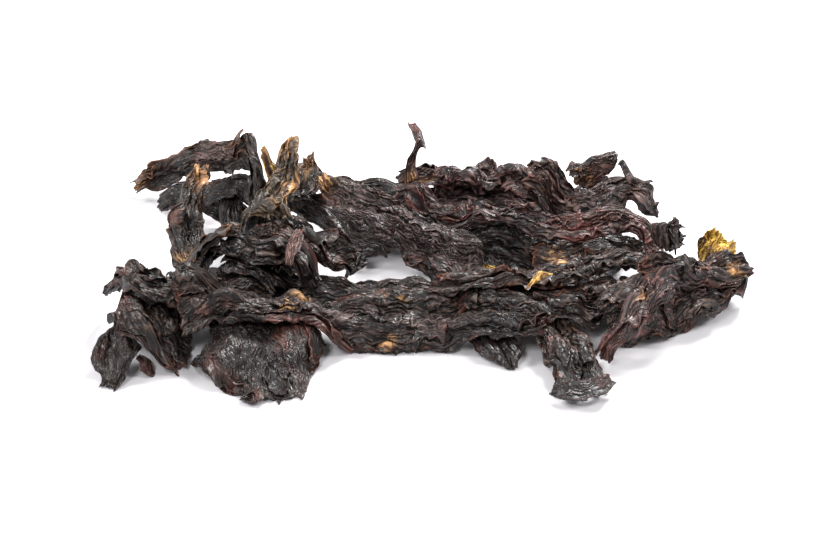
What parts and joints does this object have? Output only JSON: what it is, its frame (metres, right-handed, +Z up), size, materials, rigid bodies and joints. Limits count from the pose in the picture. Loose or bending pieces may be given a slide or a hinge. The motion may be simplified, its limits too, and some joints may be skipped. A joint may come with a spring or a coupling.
{
  "type": "dried laver",
  "caption": "Clump of dried laver: dark, crumpled and pleated seaweed fronds that dried tangled together, with torn wavy margins, raised tips and amber edges.",
  "frame": {"origin": "centre of the clump's bounding box, on the surface it lies on", "axes": "+X along the clump's long side, to the right in the picture; +Y towards its back; +Z up"},
  "size_m": [0.2008, 0.1354, 0.0395],
  "materials": {
    "black_blade": "satin, finely wrinkled",
    "dark_blade": "satin, finely wrinkled",
    "brown_blade": "dull satin, wrinkled",
    "plum_blade": "dull satin, wrinkled",
    "tan_blade": "dull, wrinkled lengthways",
    "russet_blade": "thin and slightly see-through",
    "amber_blade": "thin, glossy and see-through"
  },
  "bodies": {
    "root": {"link_right": "dark_blade", "link_middle": "dark_blade", "link_back": "black_blade", "link_left": "black_blade", "mid_ribbon": "black_blade", "back_ribbon": "black_blade", "hook_frond": "dark_blade", "glossy_frond": "black_blade", "pleated_foot": "dark_blade", "ragged_foot": "dark_blade", "back_strand": "black_blade", "low_left_bed": "black_blade", "right_body": "dark_blade", "right_lobe": "dark_blade", "yellow_cup": "amber_blade", "brown_scrap": "russet_blade", "left_leaf": "black_blade", "left_drop": "black_blade", "left_crumple": "black_blade", "left_frill": "dark_blade", "left_tip": "dark_blade", "left_twig": "dark_blade", "front_lobe": "black_blade", "front_strand": "black_blade", "swirl_frond": "black_blade", "side_lobe": "black_blade", "round_lobe": "black_blade", "mid_left_frond": "black_blade", "left_column": "brown_blade", "tan_bed": "black_blade", "low_back_mass": "dark_blade", "apron": "dark_blade", "amber_curl": "amber_blade", "back_peak": "dark_blade", "front_back_mass": "plum_blade", "left_back_mass": "plum_blade", "right_back_mass": "plum_blade", "bed_strand": "dark_blade", "right_strand": "dark_blade", "orange_scrap": "amber_blade", "loop_strand": "black_blade", "arch_bed": "black_blade", "back_arch": "brown_blade", "back_spur": "brown_blade", "amber_spur": "amber_blade", "tan_strand": "tan_blade", "peak_frond": "dark_blade", "red_strip": "plum_blade", "right_back_frond": "dark_blade", "top_blade": "dark_blade", "curl_thread": "dark_blade", "curl_tip": "plum_blade", "ridge_frond": "dark_blade", "tuft": "dark_blade", "diagonal_band": "plum_blade", "hook_flap": "dark_blade", "red_scrap": "russet_blade"}
  },
  "joints": []
}
